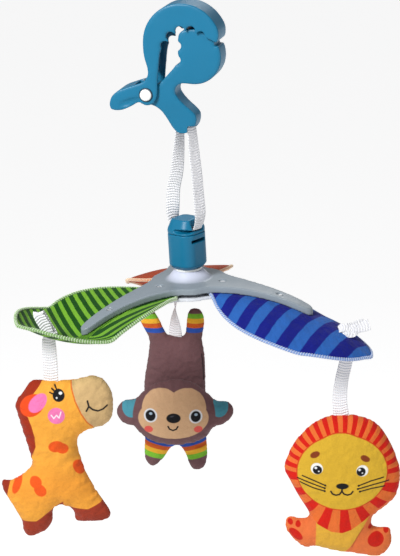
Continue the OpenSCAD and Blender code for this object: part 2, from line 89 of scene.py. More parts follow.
# Arms: their length and droop, their curve's shares of 1, of the square and of the fourth power
# of the way along, where their cover's screws are and how far below the curve
ARM_LENGTH = 98
ARM_DROOP = 19
ARM_CURVE = (0.07, 0.55, 0.38)
SCREW_PLACES = (27.0, 72.6)
SCREW_SUNK = 1.4

# Clamp: its turn and half its depth, the caps on its pin, and the room round its eye that stays sharp
CLAMP_TURN = math.radians(-13)
CLAMP_HALF = 13.0
CAP_R = 4.3
RING_R = 5.2
EYE_ROOM = 10

# Tape that the strap, the ribbons and the knots are cut from
TAPE_W = 10.4
STRAP_W = 10
TAPE_T = 0.76
TAPE_RING = 0.45
TAPE_SIDES = 16
RIB_PITCH = 2

# Stuffed toys: pitch of the cloth's mesh inside and at the seam, the seam's share of the thickness,
# where the back's flat map starts, and how the filling swells
CLOTH_PITCH = 2.0
RIM_PITCH = CLOTH_PITCH * 0.8
SEAM_SHARE = 0.22
BACK_OFFSET = 1000
FILLING_PASSES = 700
FULLNESS = 0.46
MOST_PUSH = 1.6

# Folds that run in from a seam: (strength, pitch, shift) of each, their depth and their reach
FOLDS = ((1.0, 7.3, 0), (0.7, 4.7, 1), (0.5, 11.9, 2))
PUCKER = 0.13
FOLD_REACH = 4.5

# Stage: how far the floor is below the part, and half its width
FLOOR_DROP = 750
FLOOR_HALF = 60000

# The light that a white dye throws back
DYE = 0.74


# ---------- shader maths ----------

def ink(red, green, blue):
    """A colour as it is seen, 0 to 255 a channel, as a shader takes it: no dye throws back all the light."""
    def linear(channel):
        share = channel / 255
        return DYE * (share / 12.92 if share <= 0.04045 else ((share + 0.055) / 1.055) ** 2.4)
    return (linear(red), linear(green), linear(blue), 1.0)


def add_node(tree, kind, settings=None, inputs=None):
    """Adds a node: its settings come first, then its inputs' values, wires or sockets."""
    made = tree.nodes.new(kind)
    for key, value in (settings or {}).items():
        setattr(made, key, value)
    for key, value in (inputs or {}).items():
        value = getattr(value, "socket", value)
        if isinstance(value, bpy.types.NodeSocket):
            tree.links.new(value, made.inputs[key])
        else:
            made.inputs[key].default_value = value
    return made


def arithmetic(operation, last=False):
    """A wire's method that adds one Math node, with the wire as its first or its last value."""
    def method(wire, *others):
        values = (*others, wire) if last else (wire, *others)
        return wire.finish.node("Math", {"operation": operation}, dict(enumerate(values)))
    return method


class Wire:
    """A value that varies over a surface. Arithmetic on it adds Math nodes."""

    def __init__(self, finish, socket):
        self.finish = finish
        self.socket = socket

    __add__ = __radd__ = arithmetic("ADD")
    __sub__ = arithmetic("SUBTRACT")
    __rsub__ = arithmetic("SUBTRACT", last=True)
    __mul__ = __rmul__ = arithmetic("MULTIPLY")
    __truediv__ = arithmetic("DIVIDE")
    least = arithmetic("MINIMUM")
    most = arithmetic("MAXIMUM")
    sine = arithmetic("SINE")
    size = arithmetic("ABSOLUTE")
    beyond = arithmetic("GREATER_THAN")

    def rise(self, start, end):
        """0 before start, 1 after end and smooth between them."""
        return self.finish.node("MapRange", {"interpolation_type": "SMOOTHSTEP"},
                                {"Value": self, "From Min": start, "From Max": end})


class Finish:
    """A material that is being mixed."""

    def __init__(self, name):
        self.material = bpy.data.materials.new(name)
        self.material.use_nodes = True
        self.tree = self.material.node_tree
        self.tree.nodes.clear()

    def node(self, kind, settings=None, inputs=None, output=0):
        made = add_node(self.tree, "ShaderNode" + kind, settings, inputs)
        return Wire(self, made.outputs[output]) if made.outputs else None

    def mix(self, share, first, second):
        return self.node("Mix", {"data_type": "RGBA"}, {0: share, 6: first, 7: second}, 2)

    def vector(self, operation, *values, output=0):
        return self.node("VectorMath", {"operation": operation}, dict(enumerate(values)), output)

    def place(self):
        return self.node("TexCoord", output=3)

    def noise(self, place, scale, detail=2):
        return self.node("TexNoise", {}, {"Vector": place, "Scale": scale, "Detail": detail})

    def tinted(self, colour, grain, depth):
        """A colour that is darker and lighter with a grain from 0 to 1."""
        levels = {channel: 1 + depth * (grain - 0.5) for channel in (0, 1, 2)}
        shade = self.node("CombineColor", {}, levels)
        return self.node("Mix", {"data_type": "RGBA", "blend_type": "MULTIPLY"},
                         {0: 1.0, 6: colour, 7: shade}, 2)

    def finished(self, colour, roughness, height, bump, distance, **constants):
        """Ends the material with one shader, whose other sockets hold plain numbers."""
        normal = self.node("Bump", {}, {"Height": height, "Strength": bump, "Distance": distance})
        inputs = {"Base Color": colour, "Roughness": roughness, "Normal": normal}
        inputs.update({key.replace("_", " "): value for key, value in constants.items()})
        shader = self.node("BsdfPrincipled", {}, inputs)
        self.node("OutputMaterial", {}, {"Surface": shader})
        return self.material


def moulded(name, colour, roughness=0.42, coat=0.0, collar=None):
    """Satin moulded plastic: faint flow marks, a fine etched grain and rubbed patches.

    A collar's colour fades in round the spin axis."""
    finish = Finish(name)
    place = finish.place()
    if collar is not None:
        spread = finish.vector("SUBTRACT", place, tuple(HUB_CENTRE * MM))
        spread = finish.vector("MULTIPLY", spread, (1, 1, 0))
        radius = finish.vector("LENGTH", spread, output=1)
        colour = finish.mix(radius.rise(12.5 * MM, 19 * MM), collar, colour)
    flow = finish.noise(place, 45, 3)
    grain = finish.noise(place, 2600, 1)
    rubbed = finish.noise(place, 120, 4)
    shade = finish.tinted(colour, flow, 0.14)
    gloss = roughness + 0.16 * (rubbed - 0.5)
    return finish.finished(shade, gloss, grain + 0.6 * rubbed, 0.22, 0.0002,
                           Coat_Weight=coat, Coat_Roughness=0.2, Specular_IOR_Level=0.32)


def metal(name, colour, roughness):
    """Plain steel with fine drawing lines along the part's height."""
    finish = Finish(name)
    place = finish.place()
    stretched = finish.node("Mapping", {}, {"Vector": place, "Scale": (4000, 4000, 260)})
    lines = finish.noise(stretched, 1)
    shade = finish.tinted(colour, lines, 0.3)
    return finish.finished(shade, roughness + 0.2 * (lines - 0.5), lines, 0.15, 0.0001, Metallic=1.0)


class Print:
    """Inks printed on a cloth, shape over shape, on the cloth's flat map in millimetres."""

    blur = 0.35

    def __init__(self, name, ground):
        self.finish = Finish(name)
        flat = self.finish.node("UVMap", {"uv_map": "flat"})
        across = self.finish.node("SeparateXYZ", {}, {0: flat})
        up = Wire(self.finish, across.socket.node.outputs[1])
        self.is_back = across.beyond(BACK_OFFSET / 2)
        self.x = across - BACK_OFFSET * self.is_back
        self.z = up
        self.place = self.finish.node("CombineXYZ", {}, {0: self.x, 1: self.z})
        self.colour = ground

    def dye(self, mask, colour):
        """Colours both sides of the cloth."""
        self.colour = self.finish.mix(mask, self.colour, colour)

    def lay(self, mask, colour):
        """Colours the front alone."""
        self.dye(mask * (1 - self.is_back), colour)

    def dot(self, colour, *shape):
        """Lays an oval."""
        self.lay(self.oval(*shape), colour)

    def edge(self, level):
        """1 where a level is above 0 and 0 below it, with a soft edge."""
        return level.rise(-self.blur, self.blur)

    def oval(self, x, z, half_w, half_h, tilt=0):
        """A filled oval, tilted anticlockwise in degrees."""
        local = self.finish.node("Mapping", {"vector_type": "TEXTURE"}, {
            "Vector": self.place, "Location": (x, z, 0), "Rotation": (0, 0, math.radians(tilt)),
            "Scale": (half_w, half_h, 1)})
        far = self.finish.vector("LENGTH", local, output=1)
        soft = self.blur / min(half_w, half_h)
        return 1 - far.rise(1 - soft, 1 + soft)

    def far_from(self, a, b):
        """Distance from the stretch between two points."""
        along = Vector((b[0] - a[0], b[1] - a[1], 0))
        local = self.finish.vector("SUBTRACT", self.place, (a[0], a[1], 0))
        share = self.finish.vector("DOT_PRODUCT", local, tuple(along / along.length_squared), output=1)
        share = share.most(0).least(1)
        nearest = self.finish.node("VectorMath", {"operation": "SCALE"},
                                   {0: tuple(along), 3: share})
        return self.finish.vector("DISTANCE", local, nearest, output=1)

    def line(self, points, width):
        """A stroke through points."""
        far = self.far_from(points[0], points[1])
        for a, b in zip(points[1:-1], points[2:]):
            far = far.least(self.far_from(a, b))
        return 1 - far.rise(width / 2 - self.blur, width / 2 + self.blur)

    @staticmethod
    def course(along, points):
        """The second number of each point as a wire, followed along the first."""
        level = None
        slope = 0
        for a, b in zip(points[:-1], points[1:]):
            steeper = (b[1] - a[1]) / (b[0] - a[0])
            term = (steeper - slope) * (along - a[0]).most(0)
            level = term if level is None else level + term
            slope = steeper
        return level + points[0][1]

    def over(self, points):
        """What lies above a course that is followed from left to right."""
        return self.edge(self.z - self.course(self.x, points))

    def left_of(self, points):
        """What lies left of a course that is followed upwards."""
        return self.edge(self.course(self.z, points) - self.x)

    def cloth(self, mottle=0.22, thread=0.62):
        """Ends the print as a woven, slightly napped cloth."""
        finish = self.finish
        wide = finish.noise(self.place, 0.07, 3)
        fine = finish.noise(self.place, 1.1)
        warp = (self.x * (TURN / thread)).sine()
        weft = (self.z * (TURN / thread)).sine()
        weave = warp * weft
        crumple = finish.noise(self.place, 0.13)
        colour = finish.tinted(finish.tinted(self.colour, wide, mottle), fine, 0.18)
        return finish.finished(colour, 0.8 + 0.12 * (fine - 0.5), weave * 0.35 + fine + 24 * crumple, 0.36,
                               0.0003, Sheen_Weight=0.05, Sheen_Roughness=0.5, Specular_IOR_Level=0.14)


# ---------- mesh helpers ----------

def placed(name, data):
    """An object in the scene."""
    made = bpy.data.objects.new(name, data)
    bpy.context.collection.objects.link(made)
    return made


def mesh_of(name, points, edges, faces):
    """A mesh from points in millimetres."""
    mesh = bpy.data.meshes.new(name)
    mesh.from_pydata([tuple(c * MM for c in p) for p in points], edges, [tuple(map(int, f)) for f in faces])
    return mesh


def settled(shape, name):
    """The mesh of a shape that is done with."""
    mesh = bpy.data.meshes.new(name)
    shape.to_mesh(mesh)
    shape.free()
    return mesh


def add_piece(name, points, faces, material, flat=None, backs=None):
    """A smooth mesh from points in millimetres, with its flat map if it has one."""
    mesh = mesh_of(name, points, [], faces)
    if flat is not None:
        layer = mesh.uv_layers.new(name="flat")
        for polygon in mesh.polygons:
            shift = BACK_OFFSET if backs is not None and backs[polygon.index] else 0
            for loop in polygon.loop_indices:
                u, v = flat[mesh.loops[loop].vertex_index]
                layer.data[loop].uv = (u + shift, v)
    mesh.shade_smooth()
    mesh.materials.append(material)
    piece = placed(name, mesh)
    return piece


def merged_copy(node):
    """A CAD node's shape with its loose triangles joined."""
    shape = bmesh.new()
    shape.from_mesh(frame["nodes"][node].data)
    bmesh.ops.remove_doubles(shape, verts=shape.verts, dist=0.01 * MM)
    return shape


def evaluated(piece):
    """A piece's mesh with its modifiers applied."""
    return bpy.data.meshes.new_from_object(piece.evaluated_get(bpy.context.evaluated_depsgraph_get()))


def apply_modifiers(piece):
    """Turns a piece's modifiers into plain mesh."""
    bpy.context.view_layer.update()
    made = evaluated(piece)
    piece.modifiers.clear()
    piece.data = made


def ball(place, radii, slope):
    """An egg shape that is cut from a moulding, sloping up to the right in degrees."""
    shape = bmesh.new()
    bmesh.ops.create_icosphere(shape, subdivisions=4, radius=1)
    turned = Matrix.Rotation(CLAMP_TURN, 4, "Z") @ Matrix.Rotation(math.radians(-slope), 4, "Y")
    sized = Matrix.Diagonal((*(r * MM for r in radii), 1))
    put = Matrix.Translation(Vector(place) * MM) @ turned @ sized
    bmesh.ops.transform(shape, matrix=put, verts=shape.verts)
    return placed("dent", settled(shape, "dent"))


def moulding(name, node, body, material, voxel, passes, dents=(), domed=0, kept=None):
    """A moulded CAD piece again, with its edges rounded as a mould leaves them.

    A dent is (place, radii, slope), and the front and back of a domed piece fall off towards its outline.
    kept is a place round which the mould's own edges stay."""
    piece = placed(name, settled(merged_copy(node), name))
    cutters = [ball(*dent) for dent in dents]
    for cutter in cutters:
        cut = piece.modifiers.new("Dent", "BOOLEAN")
        cut.operation = "DIFFERENCE"
        cut.object = cutter
    skin = piece.modifiers.new("Skin", "REMESH")
    skin.mode = "VOXEL"
    skin.voxel_size = voxel * MM
    skin.use_smooth_shade = True
    apply_modifiers(piece)
    for cutter in cutters:
        bpy.data.objects.remove(cutter)
    soft = piece.vertex_groups.new(name="soft")
    free = [v.index for v in piece.data.vertices if kept is None or (v.co / MM - kept).length > EYE_ROOM]
    soft.add(free, 1.0, "REPLACE")
    for title, iterations in (("Rounding", passes), ("Dome", domed)):
        if iterations:
            smooth = piece.modifiers.new(title, "SMOOTH")
            smooth.vertex_group = "soft"
            smooth.factor = 0.5
            smooth.iterations = iterations
            smooth.use_x = smooth.use_z = title == "Rounding"
    apply_modifiers(piece)
    piece.vertex_groups.clear()
    piece.data.materials.clear()
    piece.data.materials.append(material)
    piece.data.shade_smooth()
    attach(piece, body)
    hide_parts(node)


def wall(rows, sides, closed):
    """Faces between rows of points, the last row joined to the first where it is closed."""
    return [(i * sides + k, (i + 1) % rows * sides + k, (i + 1) % rows * sides + (k + 1) % sides,
             i * sides + (k + 1) % sides) for i in range(rows if closed else rows - 1) for k in range(sides)]


def lathe(profile, place, steps=48):
    """A turned shape: (radius, height) points about a matrix's own z axis."""
    points = []
    for radius, height in profile:
        for step in range(steps):
            angle = TURN * step / steps
            points.append(place @ Vector((radius * math.cos(angle), radius * math.sin(angle), height)))
    faces = wall(len(profile), steps, closed=False)
    faces.append(tuple(range(steps)))
    faces.append(tuple((len(profile) - 1) * steps + step for step in reversed(range(steps))))
    return points, faces


def joined(parts):
    """Several (points, faces) or (points, faces, flat) as one."""
    points = []
    faces = []
    flat = []
    for part in parts:
        faces += [tuple(i + len(points) for i in face) for face in part[1]]
        points += list(part[0])
        if len(part) > 2:
            flat += list(part[2])
    return points, faces, flat


def sampled(rows, pitch, fewest=1):
    """A course at even steps, from its first row of numbers to its last, and its length."""
    run = np.concatenate([[0], np.cumsum(np.linalg.norm(np.diff(rows[:, :3], axis=0), axis=1))])
    wanted = np.linspace(0, run[-1], max(fewest, round(run[-1] / pitch)) + 1)
    return np.array([np.interp(wanted, run, column) for column in rows.T]).T, run[-1]


def smooth_course(stations, pitch, closed=False):
    """Rows of numbers, the first three a place, followed smoothly and sampled evenly along."""
    rows = np.array(stations, float)
    count = len(rows)
    spans = count if closed else count - 1
    fine = []
    for i in range(spans):
        before = rows[(i - 1) % count] if closed or i else 2 * rows[0] - rows[1]
        start, end = rows[i], rows[(i + 1) % count]
        after = rows[(i + 2) % count] if closed or i + 2 < count else 2 * end - start
        for t in np.linspace(0, 1, 24, endpoint=False):
            fine.append(0.5 * (2 * start + (end - before) * t
                               + (2 * before - 5 * start + 4 * end - after) * t * t
                               + (3 * start - before - 3 * end + after) * t ** 3))
    fine.append(rows[0] if closed else rows[-1])
    course, length = sampled(np.array(fine), pitch, 2)
    return (course[:-1] if closed else course), length


def tape(stations, width, closed=False, standing=False):
    """Knitted tape through stations of (x, y, z, turn of its width about the vertical, share of its width).

    The width of a standing tape turns back from the vertical instead."""
    course, length = smooth_course(stations, TAPE_RING, closed)
    count = len(course)
    places = course[:, :3]
    ahead = np.roll(places, -1, axis=0) - np.roll(places, 1, axis=0)
    if not closed:
        ahead[0] = places[1] - places[0]
        ahead[-1] = places[-1] - places[-2]
    ahead /= np.linalg.norm(ahead, axis=1)[:, None]
    points = []
    flat = []
    for i in range(count):
        angle = math.radians(course[i, 3])
        across = np.array([0.0 if standing else math.cos(angle), math.sin(angle),
                           math.cos(angle) if standing else 0.0])
        across -= ahead[i] * across.dot(ahead[i])
        across /= np.linalg.norm(across)
        out = np.cross(ahead[i], across)
        along = length * i / count
        for k in range(TAPE_SIDES):
            turn = TURN * (k + 0.5) / TAPE_SIDES
            c, s = math.cos(turn), math.sin(turn)
            u = math.copysign(abs(c) ** 0.6, c)
            lift = math.copysign(abs(s) ** 0.45, s)
            rib = 1 + 0.34 * math.sin(TURN * (along / RIB_PITCH + 0.6 * abs(u)))
            points.append(places[i] + across * u * width * course[i, 4] / 2 + out * lift * TAPE_T / 2 * rib)
            flat.append((u * width / 2, along))
    faces = wall(count, TAPE_SIDES, closed)
    if not closed:
        faces.append(tuple(range(TAPE_SIDES)))
        faces.append(tuple(reversed([(count - 1) * TAPE_SIDES + k for k in range(TAPE_SIDES)])))
    return points, faces, flat, length


def cut_tape(name, parts):
    """Lengths of tape as one piece."""
    points, faces, flat = joined(parts)
    piece = add_piece(name, points, faces, TAPE, flat)
    outward(piece)
    return piece


def outward(piece):
    """Turns every face of a closed piece outwards."""
    shape = bmesh.new()
    shape.from_mesh(piece.data)
    bmesh.ops.recalc_face_normals(shape, faces=shape.faces)
    shape.to_mesh(piece.data)
    shape.free()


# ---------- repeats by Geometry Nodes ----------

def repeat_tree(name, along_path):
    """A tree that sets one shape at each point of a mesh, or evenly along its edges, and turns it."""
    tree = bpy.data.node_groups.new(name, "GeometryNodeTree")
    for title, kind in (("Geometry", "Geometry"), ("Shape", "Object"), ("Spacing", "Float"),
                        ("Slant", "Float"), ("Finish", "Material")):
        tree.interface.new_socket(title, in_out="INPUT", socket_type="NodeSocket" + kind)
    tree.interface.new_socket("Geometry", in_out="OUTPUT", socket_type="NodeSocketGeometry")

    def node(*asked):
        return add_node(tree, *asked)

    given = node("NodeGroupInput").outputs
    shape = node("GeometryNodeObjectInfo", {"transform_space": "ORIGINAL"}, {"Object": given["Shape"]})
    if along_path:
        path = node("GeometryNodeMeshToCurve", {}, {"Mesh": given["Geometry"]})
        spaced = node("GeometryNodeResampleCurve", {"mode": "LENGTH"},
                      {"Curve": path.outputs[0], "Length": given["Spacing"]})
        ahead = node("GeometryNodeInputTangent")
        turned = node("FunctionNodeAlignRotationToVector", {"axis": "Z"}, {"Vector": ahead.outputs[0]})
        tilt = node("ShaderNodeCombineXYZ", {}, {0: given["Slant"]})
        leaning = node("FunctionNodeRotateRotation", {"rotation_space": "LOCAL"},
                       {0: turned.outputs[0], 1: tilt.outputs[0]})
        places, rotation = spaced.outputs[0], leaning.outputs[0]
    else:
        number = node("GeometryNodeInputIndex")
        angle = node("ShaderNodeMath", {"operation": "MULTIPLY"}, {0: number.outputs[0], 1: given["Slant"]})
        spun = node("ShaderNodeCombineXYZ", {}, {2: angle.outputs[0]})
        places, rotation = given["Geometry"], spun.outputs[0]
    copies = node("GeometryNodeInstanceOnPoints", {},
                  {"Points": places, "Instance": shape.outputs["Geometry"], "Rotation": rotation})
    real = node("GeometryNodeRealizeInstances", {}, {"Geometry": copies.outputs[0]})
    dressed = node("GeometryNodeSetMaterial", {}, {"Geometry": real.outputs[0], "Material": given["Finish"]})
    node("NodeGroupOutput", {}, {0: dressed.outputs[0]})
    return tree


def repeated(name, tree, points, edges, shape, material, body, spacing=1.0, slant=0.0):
    """The tree's shapes on points in millimetres, as one plain mesh on one body."""
    piece = placed(name, mesh_of(name, points, edges, []))
    modifier = piece.modifiers.new("Repeat", "NODES")
    modifier.node_group = tree
    values = {"Shape": shape, "Spacing": spacing * MM, "Slant": slant, "Finish": material}
    for item in tree.interface.items_tree:
        if item.in_out == "INPUT" and item.name in values:
            modifier[item.identifier] = values[item.name]
    apply_modifiers(piece)
    piece.data.shade_smooth()
    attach(piece, body)
    return piece


def pattern_shape(name, points, faces):
    """A small shape that a tree repeats."""
    return placed(name, mesh_of(name, points, [], faces))


def thread_loop(radius, thread, around=12, sides=6):
    """One turn of thread."""
    points = []
    for i in range(around):
        for k in range(sides):
            a = TURN * i / around
            b = TURN * k / sides
            reach = radius + thread * math.cos(b)
            points.append((reach * math.cos(a), reach * math.sin(a), thread * math.sin(b)))
    return pattern_shape("thread_loop", points, wall(around, sides, closed=True))


# ---------- finishes ----------

TEAL = moulded("teal plastic", ink(6, 112, 150))
GREY = moulded("grey plastic", ink(140, 151, 160), 0.34, collar=ink(214, 219, 238))
PALE = moulded("pale plastic", ink(214, 218, 226), 0.36)
WHITE = moulded("white cap plastic", ink(244, 246, 245), 0.3, coat=0.4)
# Dark teal for a flat ring round each pivot cap: painted shade of the gap between cap and jaw.
PAINTED_GAP_SHADE = moulded("painted gap shade plastic", ink(14, 52, 74), 0.5)
STEEL = metal("steel", ink(196, 198, 202), 0.32)
# The cover screws' steel is darkened as painted shade of the recesses they sit in.
RECESS_SHADED_SCREW_STEEL = metal("screw steel darkened as recess shade", ink(48, 52, 60), 0.42)


def knitted(name, colour):
    """White knitted tape: slanting stitches in rows, with open gaps between them that are painted darker as
    shade.
    """
    made = Print(name, colour)
    row = (made.z * (TURN / RIB_PITCH) + made.x.size() * (TURN * 1.2 / STRAP_W)).sine()
    wale = (made.x * (TURN / 1.3)).sine()
    gaps = (0 - row).rise(0.35, 0.95) * wale.rise(-0.4, 0.7)
    # The grey-blue in the gaps is painted shade between the stitches.
    made.dye(gaps * 0.55, ink(150, 158, 178))
    finish = made.finish
    height = row * 0.6 + wale * 0.4 - gaps
    return finish.finished(finish.tinted(made.colour, finish.noise(made.place, 1.6), 0.1), 0.62 + 0.1 * gaps,
                           height, 0.5, 0.0004, Sheen_Weight=0.15, Sheen_Roughness=0.4)


TAPE = knitted("white knitted tape", ink(252, 252, 255))


def striped(name, dark, light, pitch, slant, dark_share=0.5, near=None):
    """Woven stripes across a petal. x is the distance from the spindle and z the place across the arm."""
    made = Print(name, dark)

    def stripes(angle, apart):
        """How many stripes there are before each place."""
        turned = math.radians(angle)
        return (made.x * math.cos(turned) + made.z * math.sin(turned)) / apart

    phase = stripes(slant, pitch)
    if near is not None:
        near_slant, near_pitch, shift = near
        share = made.z.rise(-1, 9) * (1 - 0.8 * made.x.rise(92, 122))
        phase = phase * (1 - share) + (stripes(near_slant, near_pitch) + shift) * share
    wobble = made.finish.noise(made.place, 0.12, 1)
    wave = ((phase + 0.08 * (wobble - 0.5)) * TURN).sine()
    edge = math.cos(math.pi * dark_share)
    made.dye(wave.rise(-edge - 0.14, -edge + 0.14), light)
    return made.cloth(mottle=0.2, thread=0.55)


PETAL_CLOTH = {
    "green": striped("green striped cloth", ink(16, 74, 8), ink(116, 174, 46), 6.8, -11, 0.54,
                     near=(78, 12.5, 0.3)),
    "blue": striped("blue striped cloth", ink(10, 22, 128), ink(40, 98, 180), 16.5, -12, 0.52),
    "orange": striped("orange striped cloth", ink(132, 38, 4), ink(198, 74, 10), 4.4, 12, 0.5),
}


def thread(name, colour):
    """Twisted sewing thread."""
    finish = Finish(name)
    grain = finish.noise(finish.place(), 900)
    return finish.finished(finish.tinted(colour, grain, 0.5), 0.7 + 0.1 * grain, grain, 0.5, 0.0002,
                           Sheen_Weight=0.2)


RIM_THREAD = {
    "green": thread("pale green thread", ink(206, 226, 190)),
    "blue": thread("pale blue thread", ink(206, 216, 238)),
    "orange": thread("cream thread", ink(240, 214, 184)),
}
RIM_CLOTH = {
    "green": thread("green rim cloth", ink(120, 160, 90)),
    "blue": thread("blue rim cloth", ink(120, 150, 205)),
    "orange": thread("orange rim cloth", ink(206, 118, 62)),
}


# ---------- clamp ----------

def make_clamp():
    moulding("inner_jaw_moulding", "inner_jaw", "clamp", TEAL, 0.5, 16, domed=90,
             kept=pivot_of("strap_swing"))
    moulding("outer_jaw_moulding", "outer_jaw", "outer_jaw", TEAL, 0.5, 16,
             [((-34.8, -6.2, -39), (10.5, 2.6, 3.4), 17)], domed=60)
    low, high = (Vector(corner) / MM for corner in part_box("pivot_pin"))
    pin = (low + high) / 2
    sides = [Matrix.Translation(pin) @ Matrix.Rotation(CLAMP_TURN, 4, "Z")
             @ Matrix.Rotation(math.radians(-90 * side), 4, "X") @ Matrix.Translation((0, 0, CLAMP_HALF))
             for side in (-1, 1)]
    dome = [(CAP_R - 0.2, 0), (CAP_R, 0.3), (CAP_R, 1.0), (CAP_R - 0.3, 1.5), (CAP_R - 1.2, 1.85),
            (1.2, 2.0), (0.2, 2.0)]
    # The ring is a flat dark disc under each cap, there only as painted shade in the gap round the cap.
    ring = [(RING_R - 0.1, -0.2), (RING_R, 0.1), (RING_R - 0.1, 0.45), (CAP_R - 0.6, 0.5), (0.5, 0.45)]
    for name, profile, material, slot in (("pivot_cap_domes", dome, WHITE, "white_plastic"),
                                          ("pivot_cap_rings", ring, PAINTED_GAP_SHADE, "teal_plastic")):
        points, faces, _ = joined([lathe(profile, side) for side in sides])
        piece = add_piece(name, points, faces, material)
        outward(piece)
        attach(piece, "clamp")
        if profile is dome:
            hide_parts("pivot_caps")


# ---------- strap ----------

def make_strap():
    """The loop goes through the clamp's eye and under the bridge in the hub's cap."""
    eye = pivot_of("strap_swing")
    drop = eye.z - pivot_of("hub_rock").z
    axis = Vector(JOINTS["strap_swing"]["axis"])
    along = axis.cross(Vector((0, 0, 1)))
    width_turn = math.degrees(math.atan2(axis.y, axis.x))
    right = [(0, 0, 0), (4.4, 0, 0), (5.6, -1.8, 0), (6.5, -7, -1), (8.2, -20, -8), (10.6, -36, -10),
             (12.1, -49, -10), (13.6, -62, -12), (13.4, -69, -6), (11.6, -74.4, 0), (8.8, -drop, 0)]
    left = [(-8.8, -drop, 0), (-11.4, -74.4, 0), (-12.8, -69, -26), (-12.8, -62, -42), (-12, -49, -44),
            (-8.8, -36, -34), (-6.9, -20, -16), (-5.9, -7, -2), (-5.6, -1.8, 0), (-4.4, 0, 0)]
    stations = [(*(eye + along * x + Vector((0, 0, z))), width_turn + twist, 1)
                for x, z, twist in right + left]
    *parts, length = tape(stations, STRAP_W, closed=True)
    strap = cut_tape("hanging_strap", [parts])
    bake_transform(strap)
    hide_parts("hang_strap")


# ---------- hub and frame ----------

def make_hub():
    moulding("hub_cap_moulding", "hub_cap", "hub", TEAL, 0.4, 26,
             [((2.9, -12.8, -134.9), (9, 4, 1.4), 2)])
    moulding("hub_body_moulding", "hub_body", "hub", TEAL, 0.4, 12)
    for node, material in (("spindle", PALE), ("thrust_washer", WHITE), ("spindle_screw", STEEL),
                           ("pivot_pin", STEEL), ("jaw_spring", STEEL)):
        for holder in frame["nodes"][node].material_slots:
            holder.material = material


def make_frame():
    moulding("frame_top_moulding", "frame_top", "frame", GREY, 0.7, 4)
    moulding("frame_bottom_moulding", "frame_bottom", "frame", PALE, 0.7, 4)
    head_r = 2.0
    slot_w = 0.35
    depth = 0.7
    steps = 24
    profile = [(0.01, -0.6), (head_r, -0.6), (head_r, 0.2), (head_r - 0.4, 0.45), (1.2, 0.5)]
    points, faces = lathe(profile, Matrix.Identity(4), steps)
    rim = [len(points) - steps + k for k in range(steps)]
    faces = faces[:-1]
    cross = []
    for quarter in range(4):
        angle = TURN * quarter / 4
        for along, beside in ((slot_w, slot_w), (1.0, slot_w), (1.0, -slot_w)):
            x = along * math.cos(angle) - beside * math.sin(angle)
            y = along * math.sin(angle) + beside * math.cos(angle)
            cross.append((x, y))
    order = sorted(cross, key=lambda p: math.atan2(p[1], p[0]))
    top = [len(points) + k for k in range(len(order))]
    points += [Vector((x, y, 0.5)) for x, y in order]
    floor = [len(points) + k for k in range(len(order))]
    points += [Vector((x * 0.7, y * 0.7, 0.5 - depth)) for x, y in order]
    count = len(order)
    for k in range(count):
        faces.append((top[k], top[(k + 1) % count], floor[(k + 1) % count], floor[k]))
        faces.append((rim[2 * k], rim[2 * k + 1], top[k]))
        faces.append((rim[2 * k + 1], rim[(2 * k + 2) % steps], top[(k + 1) % count], top[k]))
    faces.append(tuple(floor))
    head = pattern_shape("screw_head", points, faces)
    turned = LEANED @ Matrix.Rotation(FRAME_TURN, 4, "Z")
    places = []
    for angle in PETAL_ANGLES.values():
        for radius in SCREW_PLACES:
            q = radius / ARM_LENGTH
            level, square, fourth = ARM_CURVE
            height = -ARM_DROOP * (level + square * q * q + fourth * q ** 4) - SCREW_SUNK
            places.append((radius * math.cos(angle), radius * math.sin(angle), height))
    tree = repeat_tree("Screws", along_path=False)
    # The screw heads take the darkened steel, painted shade of their recesses.
    screws = repeated("cover_screws", tree, places, [], head, RECESS_SHADED_SCREW_STEEL, "frame", slant=0.7)
    screws.data.transform(Matrix.Scale(MM, 4) @ turned @ Matrix.Scale(1 / MM, 4))
    outward(screws)
    bpy.data.objects.remove(head)


# ---------- petals ----------

def make_petal(colour, loop, tree):
    """A padded leaf of striped cloth with an overlocked rim."""
    node = "petal_" + colour
    local = (LEANED @ Matrix.Rotation(FRAME_TURN + PETAL_ANGLES[colour], 4, "Z")).inverted()
    shape = merged_copy(node)
    bmesh.ops.join_triangles(shape, faces=shape.faces, angle_face_threshold=0.6, angle_shape_threshold=1.2)
    mesh = settled(shape, node)
    points = [v.co / MM for v in mesh.vertices]
    flat = [(local @ p).to_2d() for p in points]
    layer = mesh.uv_layers.new(name="flat")
    for loop_corner in mesh.loops:
        layer.data[loop_corner.index].uv = flat[loop_corner.vertex_index]
    petal = placed(colour + "_petal", mesh)
    mesh.materials.clear()
    mesh.materials.append(PETAL_CLOTH[colour])
    mesh.shade_smooth()
    rounding = petal.modifiers.new("Rounding", "SUBSURF")
    rounding.levels = rounding.render_levels = 2
    apply_modifiers(petal)
    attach(petal, "frame")
    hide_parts(node)

    hull = convex_hull_2d(flat)
    outline = []
    for index in hull:
        twins = [p for p, q in zip(points, flat) if (q - flat[index]).length < 0.4]
        outline.append(sum(twins, Vector()) / len(twins))
    course, _ = smooth_course([tuple(p) for p in outline], 1.5, closed=True)
    rim = add_tube(colour + "_petal_rim", course, 1.15, RIM_CLOTH[colour])
    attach(rim, "frame")
    edges = [(i, (i + 1) % len(course)) for i in range(len(course))]
    stitches = repeated(colour + "_petal_overlock", tree, course, edges, loop, RIM_THREAD[colour],
                        "frame", spacing=1.9, slant=0.5)


def add_tube(name, course, radius, material):
    """A closed cord of cloth along a course."""
    count = len(course)
    sides = 8
    points = []
    for i in range(count):
        ahead = Vector(course[(i + 1) % count] - course[i - 1]).normalized()
        out = ahead.cross(Vector((0, 0, 1))).normalized()
        up = out.cross(ahead)
        for k in range(sides):
            angle = TURN * k / sides
            points.append(Vector(course[i]) + radius * (math.cos(angle) * out + math.sin(angle) * up))
    piece = add_piece(name, points, wall(count, sides, closed=True), material)
    outward(piece)
    return piece


# ---------- ribbons and knots ----------

